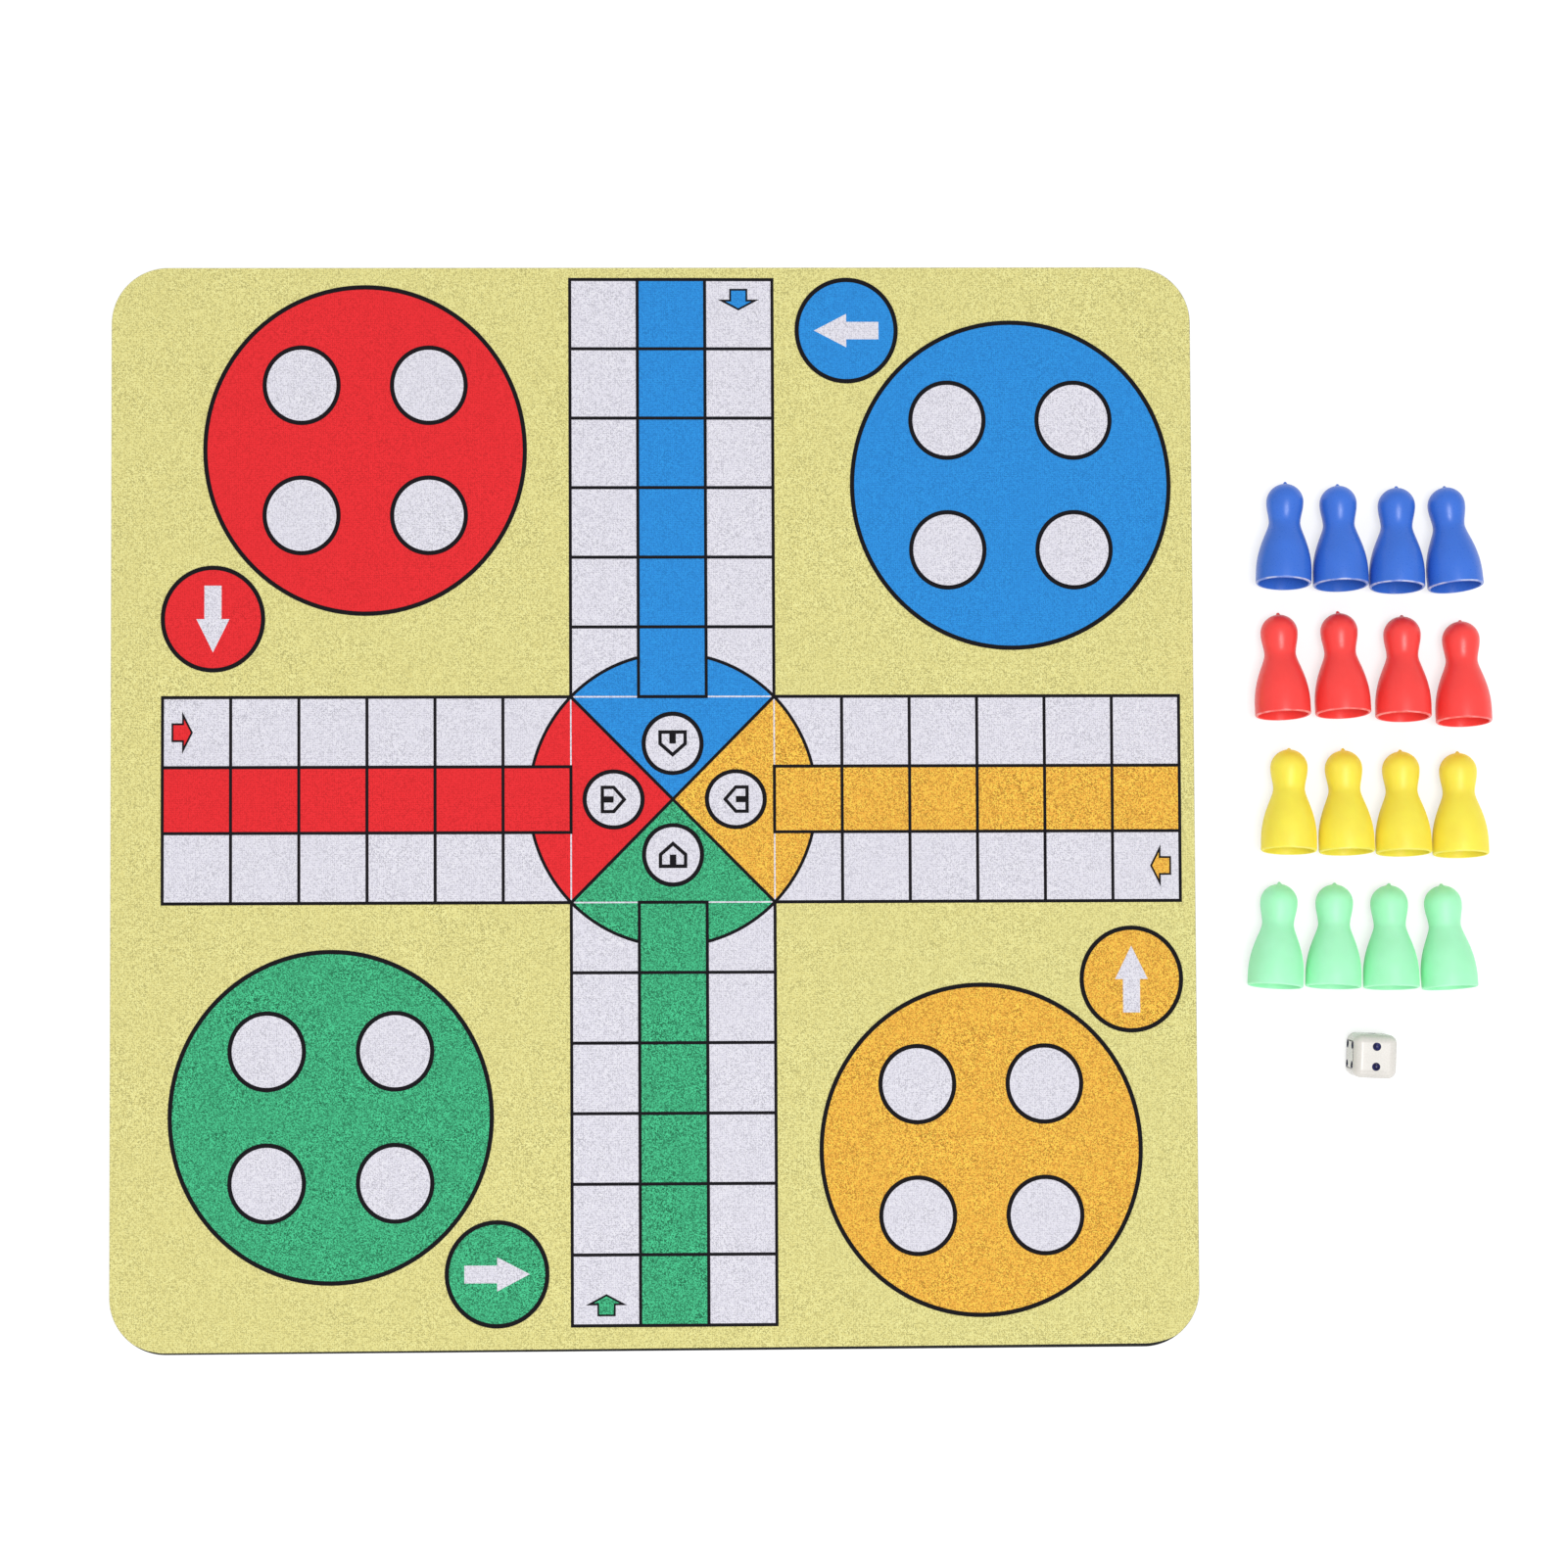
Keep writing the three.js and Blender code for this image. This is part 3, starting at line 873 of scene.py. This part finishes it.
def make_die():
    ivory = moulded_plastic(
        "die_ivory", DIE_IVORY, roughness=0.26, glow=0.15, soak=(1.0, 1.0, 1.0), depth=0.001,
        bloom=0.0, rim_highlight_strength=0.0,
    )
    paint = pip_paint()
    bm = cut_die(ivory, paint)
    rims = [edge for edge in bm.edges if len({face.material_index for face in edge.link_faces}) == 2]
    bmesh.ops.bevel(
        bm, geom=rims, offset=PIP_RIM_BEVEL, segments=2, profile=0.5, affect="EDGES", material=-1,
    )
    middle, _ = node_box("die")
    turn = Matrix.Rotation(math.radians(DIE_YAW), 4, "Z")
    bmesh.ops.transform(bm, matrix=Matrix.Translation(middle) @ turn, verts=bm.verts)
    die = finished("die_cube", bm, [ivory, paint], "die", "die")
    smooth_between(die.data, DIE_SHARP_ANGLE)
    even = die.modifiers.new("even_faces", "WEIGHTED_NORMAL")
    even.keep_sharp = True


# Stage

def make_floor():
    bm = bmesh.new()
    bmesh.ops.create_grid(bm, x_segments=1, y_segments=1, size=FLOOR_SIDE / 2)
    bmesh.ops.translate(bm, vec=(0, 0, -FLOOR_DROP), verts=bm.verts)
    loose_object("floor", bm, white_floor())


def make_light():
    world = bpy.data.worlds.new("white_room")
    world.use_nodes = True
    tree = world.node_tree
    tree.nodes.clear()
    path = node(tree, "ShaderNodeLightPath").outputs
    strength = remap(tree, path["Is Camera Ray"], 0.0, 1.0, SKY_STRENGTH, 1.0)
    sky = node(tree, "ShaderNodeBackground", {"Color": grey(1.0), "Strength": strength})
    output = node(tree, "ShaderNodeOutputWorld")
    tree.links.new(sky.outputs[0], output.inputs["Surface"])
    bpy.context.scene.world = world
    for name, place, size, power in SOFTBOXES:
        softbox = bpy.data.lights.new(name, "AREA")
        softbox.shape, softbox.energy = "RECTANGLE", power
        softbox.size, softbox.size_y = size
        lamp = bpy.data.objects.new(name, softbox)
        lamp.location = place
        lamp.rotation_euler = Vector(place).to_track_quat("Z", "Y").to_euler()
        bpy.context.scene.collection.objects.link(lamp)


def make_camera():
    camera = bpy.data.objects.new("camera", bpy.data.cameras.new("camera"))
    camera.location = Vector(CAMERA_PLACE) * MM
    camera.rotation_euler = [math.radians(angle) for angle in CAMERA_TURN]
    camera.data.sensor_width = CAMERA_SENSOR
    camera.data.lens = CAMERA_LENS
    bpy.context.scene.collection.objects.link(camera)
    bpy.context.scene.camera = camera


make_mat()
make_pawns()
make_die()
make_floor()
make_light()
make_camera()
bpy.context.scene.view_settings.view_transform = "Standard"
